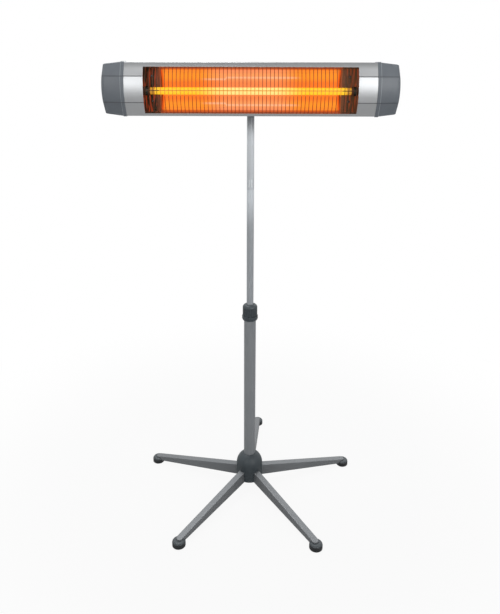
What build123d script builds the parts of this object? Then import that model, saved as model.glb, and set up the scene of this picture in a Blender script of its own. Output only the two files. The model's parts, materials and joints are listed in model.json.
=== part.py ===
from build123d import *
import math
import os

# Infrared patio heater tower: a long radiant head on a telescopic mast with a five-leg star base.
# Millimetres. The floor is z = 0, the mast's axis is x = y = 0, and the head faces -Y.

# ---------------------------------------------------------------- driving dimensions
# Fits
loose_gap = 0.3           # between pieces that only lie close
seat_gap = 0.1            # between a plug and the tube that it fills
running_gap = 0.06        # between a shaft and the hole that it turns in
over = 1.0                # how far a cut runs past the face that it opens
same_place = 0.01         # points nearer than this are one point

# Star base
leg_count = 5
star_turn = -1.2          # how far the star is turned on the mast's axis, in degrees
back_leg_skew = -4.0      # how far the back leg stands out of the even star, in degrees
foot_circle_radius = 390.0
foot_diameter = 45.0
foot_height = 22.0
foot_top_round = 9.0
foot_edge_chamfer = 1.5
leg_width = 23.0
leg_wall = 2.0
leg_root_plate = 3.0
leg_root_bottom = 36.0    # heights above the floor, at the core and at the tip
leg_root_top = 79.5
leg_tip_bottom = 13.0
leg_tip_top = 27.0
leg_tip_setback = 5.0     # the rounded tip's centre lies this far inside the foot's centre
leg_edge_round = 2.5
leg_bolt_diameter = 6.0
leg_bolt_head_diameter = 10.0
leg_bolt_head_height = 4.0
leg_bolt_shares = (0.3, 0.7)   # of the root's height

# Hub
core_flat_radius = 30.0   # from the axis to the flat that a leg seats on
core_floor = 12.0
core_neck_wall = 4.0
core_neck_height = 38.0
hub_diameter = 97.0
hub_wall = 3.0
hub_top_height = 137.0
centre_bolt_diameter = 10.0
centre_bolt_head_diameter = 19.0
centre_bolt_head_height = 6.0
centre_bolt_floor = 4.0   # of the core's floor, left over the bolt's head
centre_bolt_grip = 12.0   # how far the bolt reaches into the bottom plug
bottom_plug_height = 15.0

# Lower tube and twist collar
lower_tube_diameter = 42.0
lower_tube_wall = 1.8
collar_bottom_height = 685.0
collar_height = 57.0
collar_overlap = 17.0     # how far the collar hangs over the lower tube
collar_grip_diameter = 51.6
collar_rim_diameter = 55.6
collar_rim_height = 15.0
collar_chamfer = 4.5
collar_shoulder_round = 11.5
flute_count = 18
flute_width = 4.4
flute_depth = 1.5
bush_skirt = 40.0
bush_flange = 3.0
bush_neck_diameter = 35.0
bush_neck_height = 23.0
clamp_ring_height = 9.0
clamp_ring_taper = 2.0
clamp_ring_slit = 2.0

# Mast
upper_tube_diameter = 24.0
upper_tube_wall = 1.5
upper_tube_bottom_height = 410.0
arm_bottom_height = 1152.0
arm_top_below_pivot = 40.0
joining_spigot_length = 80.0
joining_spigot_wall = 2.5
guide_plug_height = 40.0
guide_plug_floor = 10.0
guide_plug_vent = 12.0
weld_slot_width = 4.0
weld_slot_turn = 28.0     # degrees from the front, each side
lower_slot_length = 28.0
lower_slot_rise = 8.0     # above the arm's bottom edge
upper_slot_length = 22.0
upper_slot_drop = 46.0    # below the arm's top edge

# Tilt pivot
pivot_height = 1480.0
pivot_block_width = 50.0
pivot_block_depth = 26.0
pivot_block_above = 18.0
pivot_block_round = 3.0
block_spigot_length = 50.0
pivot_bolt_diameter = 8.0
pivot_bolt_head_diameter = 15.0
pivot_bolt_head_height = 6.0
pivot_bolt_thread = 13.0
washer_diameter = 22.0
washer_thickness = 1.2
bracket_thickness = 3.0
bracket_plate_width = 92.0
bracket_plate_height = 70.0
bracket_ear_radius = 15.0
bracket_screw_diameter = 5.0
bracket_screw_inset = 10.0
bracket_screw_length = 11.0
bracket_screw_head_diameter = 9.0
bracket_screw_head_height = 2.6
knob_diameter = 38.0
knob_thickness = 18.0
knob_lobes = 6
knob_notch_diameter = 9.0
knob_notch_offset = 3.0   # from the knob's rim out to a notch's centre
knob_edge_round = 1.0

# Head shells
head_height = 158.0
head_depth = 90.0
head_standoff = 46.0      # from the pivot's axis to the head's back
front_crown = 5.5         # how far the middle facet bulges
front_facet_half = 38.0
front_shoulder_setback = 26.0
back_bevel_depth = 20.0
back_flat_half = 46.0
front_shoulder_round = 4.0
back_round = 8.0
shell_length = 751.0
cap_length = 69.5         # from the shell's end to the head's end
front_shell_wall = 1.8
back_shell_wall = 1.5
shell_split_depth = 24.0  # from the head's back to the joint of the two shells
back_flange_overlap = 12.0
groove_width = 2.0
window_margin = 56.5      # from the shell's end to the window's
window_height = 136.0
window_drop = 2.8         # the window's middle lies this far below the head's
vent_count = 14
vent_length = 26.0
vent_width = 4.0
vent_pitch = 46.0

# End caps
cap_wall = 2.5
cap_taper = 0.93          # the cross-section's scale at the brow, against the shell's
cap_end_taper = 0.90      # and at the end face
cap_brow = 10.0           # from the brow to the end face
cap_end_round = 4.5
cap_crown = 5.0           # how far the end face bulges over the head's height
cap_bead_width = 10.0
cap_bead_proud = 1.6
cap_skirt = 12.0
cap_screw_spread = 60.0
cap_screw_diameter = 4.0
cap_screw_head_diameter = 8.0
cap_screw_head_height = 3.0
cap_well_diameter = 10.0
cap_well_wall = 2.0
cap_screw_setback = 4.0   # from the bead's inner face to the bottom of the well
bulkhead_thickness = 1.5
bulkhead_setback = 2.0    # from the skirt's inner end
bulkhead_lead_hole = 20.0

# Heating
reflector_margin = 47.0   # from the window's end to the reflector's
reflector_depth = 47.0
reflector_setback = 3.3   # from the shell's shoulder to the reflector's lips
reflector_half_height = 66.0
reflector_sheet = 0.8
bay_sheet = 1.0
bay_depth = 34.0
bay_length = 54.0
lamp_setback = 41.0       # from the front apex to the lamp's axis
lamp_drop = 5.5           # below the head's middle
quartz_diameter = 21.0
quartz_wall = 1.2
quartz_margin = 10.0      # from the window's end to the quartz tube's
lamp_end_length = 27.0
lamp_end_wall = 1.5
lamp_socket_depth = 6.0
filament_diameter = 6.0
filament_pin_diameter = 2.0
filament_pin_inset = 13.0
clip_width = 10.0
clip_wall = 2.0
clip_setback = 6.0
bay_screw_spread = 74.0
bay_screw_diameter = 4.0
bay_screw_head_diameter = 8.0
bay_screw_head_height = 2.5
bay_screw_length = 6.0
bay_screw_inset = 26.0    # from the bay's outer end

# Grille
grille_wire = 2.0
grille_rail = 2.5
grille_pitch = 11.6
grille_reach = 4.0        # how far the wires run behind the window's lips
grille_rail_count = 3
grille_rail_share = 0.9   # the outer rails' place, as a share of the wires' half span
grille_weld = 0.25        # how far a rail is sunk into the wires

# Electrical pieces
lead_diameter = 3.0
lead_bend = 3.0
terminal_block_size = (18.0, 25.0, 28.0)
terminal_block_drop = 48.0
terminal_shares = (0.25, 0.75)   # of the block's depth, where the two leads enter
tip_switch_size = (16.0, 22.0, 26.0)
tip_switch_lift = 52.0
fittings_inset = 31.5     # from the shell's end to the switch and gland
switch_lift = 20.0
switch_flange = (22.0, 30.0)
switch_flange_thickness = 2.5
switch_body_size = (19.0, 27.0)
switch_body_depth = 22.0
rocker_length = 21.6
rocker_width = 14.4
rocker_valley = 1.0
rocker_peak = 3.3
rocker_root = 3.0
rocker_pin_diameter = 3.0
rocker_pin_reach = 1.2
rocker_rest_angle = 12.0
gland_drop = 20.0
gland_bore = 8.5
gland_thread_diameter = 16.0
gland_hex = 22.0
gland_flange = 5.0
gland_neck = 5.0
gland_nut_length = 14.5
gland_nut_wall = 3.0
gland_locknut_thickness = 4.0

# ---------------------------------------------------------------- derived places
leg_angles = [90.0 + star_turn + 360.0 / leg_count * k for k in range(leg_count)]
leg_angles[0] += back_leg_skew
foot_radius = foot_diameter / 2
leg_tip_radius = leg_width / 2
leg_tip_centre = foot_circle_radius - leg_tip_setback
leg_seat_start = foot_circle_radius - foot_radius
lower_tube_radius = lower_tube_diameter / 2
lower_tube_bore = lower_tube_radius - lower_tube_wall
lower_tube_bottom = leg_root_bottom + core_floor
lower_tube_top = collar_bottom_height + collar_overlap
collar_top_height = collar_bottom_height + collar_height
bush_top = lower_tube_top + bush_flange + bush_neck_height
upper_tube_radius = upper_tube_diameter / 2
upper_tube_bore = upper_tube_radius - upper_tube_wall
arm_top_height = pivot_height - arm_top_below_pivot
ear_inner = pivot_block_width / 2 + washer_thickness + loose_gap
ear_outer = ear_inner + bracket_thickness
head_back = -head_standoff
head_front = head_back - head_depth
shell_split = head_back - shell_split_depth
shell_end = shell_length / 2
cap_reach = shell_end + cap_length
head_length = 2 * cap_reach
window_end = shell_end - window_margin
window_z = pivot_height - window_drop
bulkhead_outer = shell_end - cap_skirt - bulkhead_setback
bulkhead_inner = bulkhead_outer - bulkhead_thickness
reflector_end = window_end - reflector_margin
bay_inner = reflector_end + loose_gap
bay_outer = bay_inner + bay_length
reflector_front = head_front + front_shoulder_setback + front_shell_wall + reflector_setback
bay_back = reflector_front + bay_depth
lamp_y = head_front + lamp_setback
lamp_z = pivot_height - lamp_drop
quartz_end = window_end - quartz_margin
lamp_end_start = quartz_end - lamp_socket_depth
lamp_end_radius = quartz_diameter / 2 + seat_gap + lamp_end_wall
fittings_x = shell_end - fittings_inset
back_inner = head_back - back_shell_wall


def save(name, shape):
    """Write one named piece."""
    export_step(shape, f"parts/{name}.step")


def rod(radius, start, end, y, z):
    """Round bar along X."""
    return Pos(start, y, z) * extrude(Plane.YZ * Circle(radius), amount=end - start)


def post(radius, bottom, top, x=0.0, y=0.0):
    """Round bar along Z."""
    return Pos(x, y, bottom) * extrude(Circle(radius), amount=top - bottom)


def pipe(radius, bore, bottom, top):
    """Tube along Z, on the mast's axis."""
    return Pos(0, 0, bottom) * extrude(Circle(radius) - Circle(bore), amount=top - bottom)


def peg(radius, front, back, x, z):
    """Round bar along Y, from front (low y) to back (high y)."""
    return Pos(x, front, z) * extrude(Plane.XZ.reverse() * Circle(radius), amount=back - front)


def block(low, high):
    """Box between two corners."""
    size = [b - a for a, b in zip(low, high)]
    middle = [(a + b) / 2 for a, b in zip(low, high)]
    return Pos(*middle) * Box(*size)


def mirrored(shape):
    """The same piece on the head's other end."""
    return mirror(shape, about=Plane.YZ)


# ---------------------------------------------------------------- star base
def leg_top_at(radius):
    """Height of a leg's top face at a distance from the mast's axis."""
    run = leg_tip_centre + leg_tip_radius - core_flat_radius
    return leg_root_top + (leg_tip_top - leg_root_top) * (radius - core_flat_radius) / run


def leg_prism(root, half_width, lower_top=0.0, lower_bottom=0.0):
    """Tapered bar along +X with a round tip: a leg's outside, its hollow or its clearance."""
    tip_end = leg_tip_centre + half_width
    outline = Polyline(
        (root, leg_root_bottom - lower_bottom),
        (root, leg_top_at(root) - lower_top),
        (tip_end, leg_top_at(tip_end) - lower_top),
        (tip_end, leg_tip_bottom - lower_bottom),
        (leg_seat_start, leg_tip_bottom - lower_bottom),
        close=True,
    )
    side = extrude(Plane.XZ * make_face(outline), amount=half_width, both=True)
    straight = Pos((root + leg_tip_centre) / 2, 0) * Rectangle(leg_tip_centre - root, 2 * half_width)
    plan = straight + Pos(leg_tip_centre, 0) * Circle(half_width)
    return side & extrude(plan, amount=2 * leg_root_top, both=True)


def leg_bolt_heights():
    depth = leg_root_top - leg_root_bottom
    return [leg_root_bottom + depth * share for share in leg_bolt_shares]


def make_leg():
    """Pressed steel leg, an upside-down channel that is closed at the root and the tip."""
    outside = leg_prism(core_flat_radius, leg_tip_radius)
    top = max(outside.faces(), key=lambda face: face.normal_at().Z)
    rim = [edge for edge in top.edges() if edge.center().X > core_flat_radius + leg_wall]
    outside = fillet(rim, leg_edge_round)
    hollow = leg_prism(core_flat_radius + leg_root_plate, leg_tip_radius - leg_wall, leg_wall, foot_height)
    leg = outside - hollow
    for height in leg_bolt_heights():
        plate_end = core_flat_radius + leg_root_plate
        leg -= rod(leg_bolt_diameter / 2 + seat_gap, core_flat_radius - over, plate_end + over, 0, height)
    return leg


def make_foot():
    """Moulded foot with a channel for the leg's tip and a plug that fills the tip's hollow."""
    body = post(foot_radius, 0, foot_height)
    body = fillet(body.edges().group_by(Axis.Z)[-1], foot_top_round)
    body = chamfer(body.edges().group_by(Axis.Z)[0], foot_edge_chamfer)
    body = Pos(foot_circle_radius, 0, 0) * body
    body -= leg_prism(core_flat_radius, leg_tip_radius + seat_gap, -loose_gap)
    plug_half = leg_tip_radius - leg_wall - seat_gap
    plug = leg_prism(leg_seat_start, plug_half, leg_wall + loose_gap)
    return body + (plug & post(foot_radius - foot_edge_chamfer, 0, leg_root_top, foot_circle_radius))


def make_leg_bolts():
    bolts = []
    for height in leg_bolt_heights():
        tip = lower_tube_radius + 2 * loose_gap
        seat = core_flat_radius + leg_root_plate
        shank = rod(leg_bolt_diameter / 2, tip, seat, 0, height)
        bolts.append(shank + rod(leg_bolt_head_diameter / 2, seat, seat + leg_bolt_head_height, 0, height))
    return bolts


def make_hub_core():
    """Casting with one flat for each leg and a neck that holds the lower tube."""
    corners = []
    for first, second in zip(leg_angles, leg_angles[1:] + [leg_angles[0] + 360.0]):
        reach = core_flat_radius / math.cos(math.radians(second - first) / 2)
        turn = math.radians(first + second) / 2
        corners.append((reach * math.cos(turn), reach * math.sin(turn)))
    outline = make_face(Polyline(*corners, close=True))
    core = Pos(0, 0, leg_root_bottom) * extrude(outline, amount=leg_root_top - leg_root_bottom)
    neck_radius = lower_tube_radius + core_neck_wall
    core += post(neck_radius, leg_root_top, leg_root_top + core_neck_height)
    core -= post(lower_tube_radius + seat_gap, lower_tube_bottom, 2 * leg_root_top + core_neck_height)
    core -= post(centre_bolt_diameter / 2 + loose_gap, 0, 2 * lower_tube_bottom)
    core -= post(centre_bolt_head_diameter / 2 + 2 * loose_gap, 0, lower_tube_bottom - centre_bolt_floor)
    bolt_hole = leg_bolt_diameter / 2 + seat_gap
    for angle in leg_angles:
        for height in leg_bolt_heights():
            core -= Rot(0, 0, angle) * rod(bolt_hole, lower_tube_radius, 2 * core_flat_radius, 0, height)
    return core


def dome(radius, shoulder):
    """Upright cylinder with a round crown, from the hub's underside."""
    return post(radius, leg_root_bottom, shoulder) + Pos(0, 0, shoulder) * Sphere(radius)


def make_hub_cover():
    """Moulded dome over the core, slotted for the legs."""
    radius = hub_diameter / 2
    bore = lower_tube_radius + loose_gap
    inner_wall = radius - hub_wall
    shoulder = hub_top_height - math.sqrt(radius ** 2 - bore ** 2)
    cover = dome(radius, shoulder) - dome(inner_wall, shoulder)
    cover -= post(bore, 0, 2 * hub_top_height) + post(inner_wall, 0, shoulder)
    slot_top = leg_top_at(inner_wall) + loose_gap
    slot_half = leg_tip_radius + loose_gap
    slot = block((core_flat_radius, -slot_half, 0), (2 * radius, slot_half, slot_top))
    for angle in leg_angles:
        cover -= Rot(0, 0, angle) * slot
    return cover


def make_centre_bolt():
    head_top = lower_tube_bottom - centre_bolt_floor
    head = post(centre_bolt_head_diameter / 2, head_top - centre_bolt_head_height, head_top)
    return head + post(centre_bolt_diameter / 2, head_top, lower_tube_bottom + centre_bolt_grip)


def make_bottom_plug():
    return pipe(
        lower_tube_bore - seat_gap, centre_bolt_diameter / 2 + seat_gap,
        lower_tube_bottom, lower_tube_bottom + bottom_plug_height,
    )


# ---------------------------------------------------------------- lower tube and collar
def make_lower_tube():
    return pipe(lower_tube_radius, lower_tube_bore, lower_tube_bottom, lower_tube_top)


def make_tube_top_bush():
    """Bush that closes the lower tube, guides the mast and carries the collar's thread."""
    bush = post(lower_tube_bore - seat_gap, lower_tube_top - bush_skirt, lower_tube_top)
    bush += post(lower_tube_radius, lower_tube_top, lower_tube_top + bush_flange)
    bush += post(bush_neck_diameter / 2, lower_tube_top, bush_top)
    return bush - post(upper_tube_radius + running_gap, 0, 2 * bush_top)


def make_clamp_ring():
    """Split cone that the collar squeezes on the mast."""
    wide = bush_neck_diameter / 2
    cone = Cone(wide, wide - clamp_ring_taper, clamp_ring_height)
    ring = Pos(0, 0, bush_top + clamp_ring_height / 2) * cone
    ring -= post(upper_tube_radius + running_gap, 0, 2 * bush_top)
    reach = 2 * wide
    slit = block((0, -clamp_ring_slit / 2, 0), (reach, clamp_ring_slit / 2, 2 * bush_top))
    return ring - Rot(0, 0, 90) * slit


def make_twist_collar():
    """Fluted collar with a flared rim, a chamfered foot and a round shoulder."""
    grip = collar_grip_diameter / 2
    rim = collar_rim_diameter / 2
    low = collar_bottom_height
    rim_top = low + collar_rim_height
    body = post(grip, low, collar_top_height)
    body = fillet(body.edges().group_by(Axis.Z)[-1], collar_shoulder_round)
    flare = post(rim, low, rim_top)
    flare = chamfer(flare.edges().group_by(Axis.Z)[0], collar_chamfer)
    flare = fillet(flare.edges().group_by(Axis.Z)[-1], (rim - grip) / 2)
    body += flare
    cutter_radius = flute_width / 2
    cutter_place = grip + cutter_radius - flute_depth
    flute_top = collar_top_height - collar_shoulder_round
    cutter = post(cutter_radius, rim_top, flute_top - cutter_radius, cutter_place)
    cutter += Pos(cutter_place, 0, flute_top - cutter_radius) * Sphere(cutter_radius)
    for k in range(flute_count):
        body -= Rot(0, 0, 360.0 / flute_count * k) * cutter
    step = lower_tube_top + bush_flange + loose_gap
    body -= post(lower_tube_radius + loose_gap, 0, step)
    ring_top = bush_top + clamp_ring_height + loose_gap
    body -= post(bush_neck_diameter / 2 + loose_gap, 0, ring_top)
    return body - post(upper_tube_radius + loose_gap, 0, 2 * collar_top_height)


# ---------------------------------------------------------------- mast
def make_guide_plug():
    """Plug that runs in the lower tube and carries the upper tube's end."""
    bottom = upper_tube_bottom_height - guide_plug_floor
    plug = post(lower_tube_bore - seat_gap, bottom, bottom + guide_plug_height)
    plug -= post(upper_tube_radius + running_gap, upper_tube_bottom_height, bottom + 2 * guide_plug_height)
    return plug - post(guide_plug_vent / 2, 0, upper_tube_bottom_height + over)


def make_upper_tube():
    return pipe(upper_tube_radius, upper_tube_bore, upper_tube_bottom_height, arm_bottom_height)


def make_joining_spigot():
    radius = upper_tube_bore - seat_gap
    half = joining_spigot_length / 2
    return pipe(radius, radius - joining_spigot_wall, arm_bottom_height - half, arm_bottom_height + half)


def weld_slot(bottom, length):
    """Round-ended slot through the arm's wall, where it is welded to the spigot inside."""
    radius = weld_slot_width / 2
    slot = post(radius, bottom + radius, bottom + length - radius, upper_tube_radius)
    for end in (bottom + radius, bottom + length - radius):
        slot += Pos(upper_tube_radius, 0, end) * Sphere(radius)
    return slot


def make_mast_arm():
    """Top length of the mast, pressed onto the spigots inside it."""
    arm = pipe(upper_tube_radius, upper_tube_bore, arm_bottom_height, arm_top_height)
    lower = weld_slot(arm_bottom_height + lower_slot_rise, lower_slot_length)
    upper = weld_slot(arm_top_height - upper_slot_drop, upper_slot_length)
    for side in (-90, 90):
        for turn in (-weld_slot_turn, weld_slot_turn):
            arm -= Rot(0, 0, side + turn) * lower
            arm -= Rot(0, 0, side + turn) * upper
    return arm


def make_pivot_block():
    """Casting on the arm's top, with the cross bore of the tilt."""
    half_width = pivot_block_width / 2
    half_depth = pivot_block_depth / 2
    low = (-half_width, -half_depth, arm_top_height)
    high = (half_width, half_depth, pivot_height + pivot_block_above)
    body = block(low, high)
    body = fillet(body.edges().filter_by(Axis.Z) + body.edges().group_by(Axis.Z)[-1], pivot_block_round)
    body += post(upper_tube_bore - seat_gap, arm_top_height - block_spigot_length, arm_top_height)
    hole = pivot_bolt_diameter / 2 + running_gap
    return body - rod(hole, -half_width - over, half_width + over, 0, pivot_height)


def make_pivot_bolt():
    head_face = -ear_outer - loose_gap
    thread_end = ear_outer + pivot_bolt_thread
    bolt = rod(pivot_bolt_diameter / 2, head_face, thread_end, 0, pivot_height)
    hexagon = RegularPolygon(pivot_bolt_head_diameter / 2, 6)
    head = Pos(head_face, 0, pivot_height) * extrude(Plane.YZ * hexagon, amount=-pivot_bolt_head_height)
    return bolt + head


def make_friction_washers():
    start = pivot_block_width / 2 + loose_gap / 2
    washer = rod(washer_diameter / 2, start, start + washer_thickness, 0, pivot_height)
    washer -= rod(pivot_bolt_diameter / 2 + running_gap, 0, 2 * start, 0, pivot_height)
    return [washer, mirrored(washer)]


def make_tilt_knob():
    """Lobed hand knob on the pivot bolt's thread."""
    radius = knob_diameter / 2
    start = ear_outer + loose_gap
    outline = Circle(radius)
    notch = Pos(radius + knob_notch_offset, 0) * Circle(knob_notch_diameter / 2)
    for k in range(knob_lobes):
        outline -= Rot(0, 0, 360.0 / knob_lobes * k) * notch
    knob = Pos(start, 0, pivot_height) * extrude(Plane.YZ * outline, amount=knob_thickness)
    knob = fillet(knob.edges().group_by(Axis.X)[-1], knob_edge_round)
    hole_end = ear_outer + pivot_bolt_thread + loose_gap
    return knob - rod(pivot_bolt_diameter / 2 + running_gap, 0, hole_end, 0, pivot_height)


# ---------------------------------------------------------------- tilt bracket
def bracket_screw_places():
    x = bracket_plate_width / 2 - bracket_screw_inset
    z = bracket_plate_height / 2 - bracket_screw_inset
    return [(sx * x, pivot_height + sz * z) for sx in (-1, 1) for sz in (-1, 1)]


def make_tilt_bracket():
    """Folded plate behind the head, with two ears that turn on the pivot bolt."""
    half_width = bracket_plate_width / 2
    half_height = bracket_plate_height / 2
    plate_back = head_back + bracket_thickness
    low = (-half_width, head_back, pivot_height - half_height)
    high = (half_width, plate_back, pivot_height + half_height)
    bracket = block(low, high)
    bracket = fillet(bracket.edges().filter_by(Axis.Y), bracket_thickness)
    low = (ear_inner, head_back, pivot_height - bracket_ear_radius)
    ear = block(low, (ear_outer, 0, pivot_height + bracket_ear_radius))
    ear += rod(bracket_ear_radius, ear_inner, ear_outer, 0, pivot_height)
    bracket += ear + mirrored(ear)
    bracket -= rod(pivot_bolt_diameter / 2 + running_gap, -2 * ear_outer, 2 * ear_outer, 0, pivot_height)
    for x, z in bracket_screw_places():
        bracket -= peg(bracket_screw_diameter / 2 + seat_gap, head_back - over, plate_back + over, x, z)
    return bracket


def make_bracket_screws():
    plate_back = head_back + bracket_thickness
    screws = []
    for x, z in bracket_screw_places():
        shank = peg(bracket_screw_diameter / 2, plate_back - bracket_screw_length, plate_back, x, z)
        head = peg(bracket_screw_head_diameter / 2, plate_back, plate_back + bracket_screw_head_height, x, z)
        screws.append(shank + head)
    return screws


# ---------------------------------------------------------------- head shells
def head_face(inset):
    """Cross-section of the head in the plane across its length, drawn in by an inset."""
    half = head_height / 2
    facet_y = head_front + front_crown
    shoulder_y = head_front + front_shoulder_setback
    bevel_y = head_back - back_bevel_depth
    crown = ThreePointArc((facet_y, front_facet_half), (head_front, 0), (facet_y, -front_facet_half))
    rest = Polyline(
        (facet_y, -front_facet_half), (shoulder_y, -half), (bevel_y, -half), (head_back, -back_flat_half),
        (head_back, back_flat_half), (bevel_y, half), (shoulder_y, half), (facet_y, front_facet_half),
    )
    face = make_face(crown + rest)
    shoulders = [v for v in face.vertices() if abs(v.X - shoulder_y) < same_place]
    face = fillet(shoulders, front_shoulder_round)
    backs = [v for v in face.vertices() if min(abs(v.X - head_back), abs(v.X - bevel_y)) < same_place]
    face = fillet(backs, back_round)
    if inset:
        face = offset(face, amount=-inset, kind=Kind.INTERSECTION)
    return face


def head_bar(inset, start, end):
    """The head's cross-section run along X from start to end."""
    face = Pos(0, pivot_height) * head_face(inset)
    return Pos(start, 0, 0) * extrude(Plane.YZ * face, amount=end - start)


def cut_at_split(shape, keep_front):
    """Keep what lies on one side of the joint of the two shells."""
    reach = 2 * head_length
    if keep_front:
        return shape - block((-reach, shell_split, 0), (reach, reach, 2 * pivot_height))
    return shape - block((-reach, -reach, 0), (reach, shell_split, 2 * pivot_height))


def groove_bars(start, end):
    """The two lines that run along the edges of the middle facet."""
    y = head_front + front_crown
    return [rod(groove_width / 2, start, end, y, pivot_height + side * front_facet_half) for side in (-1, 1)]


def make_front_shell():
    """Extruded aluminium front with the window and two grooves."""
    shell = head_bar(0, -shell_end, shell_end) - head_bar(front_shell_wall, -head_length, head_length)
    shell = cut_at_split(shell, True)
    low = (-window_end, 2 * head_front, window_z - window_height / 2)
    behind = head_front + front_shoulder_setback + front_shell_wall
    shell -= block(low, (window_end, behind, window_z + window_height / 2))
    for groove in groove_bars(-head_length, head_length):
        shell -= groove
    return shell


def vent_slots():
    """Slots through the top and bottom bevels of the back."""
    middle_y = head_back - back_bevel_depth / 2
    middle_z = (head_height / 2 + back_flat_half) / 2
    slot = Box(vent_length, 2 * back_bevel_depth, vent_width)
    slots = []
    for k in range(vent_count):
        x = (k - (vent_count - 1) / 2) * vent_pitch
        for side in (-1, 1):
            slots.append(Pos(x, middle_y, pivot_height + side * middle_z) * slot)
    return slots


def make_rear_shell():
    """Back panel with a flange that tucks into the front shell."""
    skin = cut_at_split(head_bar(0, -shell_end, shell_end), False)
    skin -= head_bar(back_shell_wall, -head_length, head_length)
    tuck = front_shell_wall + seat_gap
    inside = head_bar(tuck + back_shell_wall, -head_length, head_length)
    flange = head_bar(tuck, -bulkhead_inner, bulkhead_inner) - inside
    step = head_bar(0, -bulkhead_inner, bulkhead_inner) - inside
    front = shell_split - back_flange_overlap
    back = shell_split + 2 * back_shell_wall
    reach = 2 * head_length
    flange &= block((-reach, front, 0), (reach, back, 2 * pivot_height))
    step &= block((-reach, shell_split, 0), (reach, back, 2 * pivot_height))
    shell = skin + step + flange
    for slot in vent_slots():
        shell -= slot
    for x, z in bracket_screw_places():
        shell -= peg(bracket_screw_diameter / 2 + seat_gap, 2 * head_back, 0, x, z)
    half_x = switch_body_size[0] / 2 + seat_gap
    half_z = switch_body_size[1] / 2 + seat_gap
    middle = pivot_height + switch_lift
    low = (fittings_x - half_x, 2 * head_back, middle - half_z)
    shell -= block(low, (fittings_x + half_x, 0, middle + half_z))
    gland_hole = gland_thread_diameter / 2 + seat_gap
    return shell - peg(gland_hole, 2 * head_back, 0, fittings_x, pivot_height - gland_drop)


# ---------------------------------------------------------------- end caps
cap_body_start = shell_end + cap_bead_width
head_middle_y = (head_front + head_back) / 2
screw_y = head_middle_y
well_bottom = shell_end + cap_screw_setback


def cap_loft(inset, start, end):
    """Tapering body of an end cap, its cross-section drawn in by an inset."""
    middle = Pos(-head_middle_y, 0) * head_face(inset)
    sections = []
    for x, size in ((start, 1.0), (end - cap_brow, cap_taper), (end, cap_end_taper)):
        place = Plane(origin=(x, head_middle_y, pivot_height), x_dir=(0, 1, 0), z_dir=(1, 0, 0))
        sections.append((place * scale(middle, by=size)).face())
    return loft(sections, ruled=True)


def end_crown(inset):
    """Long roller, lying along Y, that gives the cap's end face its bulge."""
    radius = (head_height / 2) ** 2 / (2 * cap_crown)
    return peg(radius - inset, 2 * head_front, 0, cap_reach - radius, pivot_height)


def cap_screw_heights():
    return [pivot_height + side * cap_screw_spread / 2 for side in (-1, 1)]


def make_end_cap():
    """Moulded end cap at the +X end, with a bead, a skirt inside the shell and two screw wells."""
    cap = cap_loft(0, cap_body_start, cap_reach) & end_crown(0)
    cap = fillet(cap.faces().sort_by(Axis.X)[-1].edges(), cap_end_round)
    cap -= cap_loft(cap_wall, cap_body_start, cap_reach) & end_crown(cap_wall)
    tuck = front_shell_wall + loose_gap
    bead = head_bar(-cap_bead_proud, shell_end, cap_body_start)
    bead = fillet(bead.edges().group_by(Axis.X)[0] + bead.edges().group_by(Axis.X)[-1], cap_bead_proud / 2)
    bead -= head_bar(tuck + cap_wall, 0, head_length)
    skirt = head_bar(tuck, shell_end - cap_skirt, shell_end + cap_wall / 2)
    skirt -= head_bar(tuck + cap_wall, 0, head_length)
    cap += bead + skirt
    for z in cap_screw_heights():
        cap += rod(cap_well_diameter / 2 + cap_well_wall, shell_end, cap_reach - cap_wall, screw_y, z)
    for z in cap_screw_heights():
        cap -= rod(cap_well_diameter / 2, well_bottom, head_length, screw_y, z)
        cap -= rod(cap_screw_diameter / 2 + seat_gap, 0, head_length, screw_y, z)
    for groove in groove_bars(cap_body_start, head_length):
        cap -= groove
    return cap


def make_cap_screws():
    screws = []
    for z in cap_screw_heights():
        tip = bulkhead_inner - 2 * bulkhead_thickness
        shank = rod(cap_screw_diameter / 2, tip, well_bottom, screw_y, z)
        head = rod(cap_screw_head_diameter / 2, well_bottom, well_bottom + cap_screw_head_height, screw_y, z)
        screws.append(shank + head)
    return screws + [mirrored(screw) for screw in screws]


def make_bulkhead():
    """Sheet that closes the wiring chamber and takes the cap's screws."""
    sheet = head_bar(front_shell_wall + loose_gap, bulkhead_inner, bulkhead_outer)
    sheet -= rod(bulkhead_lead_hole / 2, 0, head_length, screw_y, pivot_height)
    for z in cap_screw_heights():
        sheet -= rod(cap_screw_diameter / 2 + seat_gap, 0, head_length, screw_y, z)
    return sheet


# ---------------------------------------------------------------- heating pieces
flange_reach = head_height / 2 - front_shell_wall - loose_gap


def make_reflector():
    """Polished trough with a lip along each edge."""
    trough = Ellipse(reflector_depth, reflector_half_height)
    trough -= Ellipse(reflector_depth - reflector_sheet, reflector_half_height - reflector_sheet)
    trough -= Pos(-reflector_depth, 0) * Rectangle(2 * reflector_depth, 4 * reflector_half_height)
    for side in (-1, 1):
        outer_end = side * flange_reach + window_drop
        inner_end = side * (reflector_half_height - reflector_sheet)
        lip_size = abs(outer_end - inner_end)
        lip_middle = (outer_end + inner_end) / 2
        trough += Pos(reflector_sheet / 2, lip_middle) * Rectangle(reflector_sheet, lip_size)
    section = Plane.YZ * (Pos(reflector_front, window_z) * trough)
    return extrude(section, amount=reflector_end, both=True)


def bay_screw_places():
    x = bay_outer - bay_screw_inset
    return [(x, pivot_height + side * bay_screw_spread / 2) for side in (-1, 1)]


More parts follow.
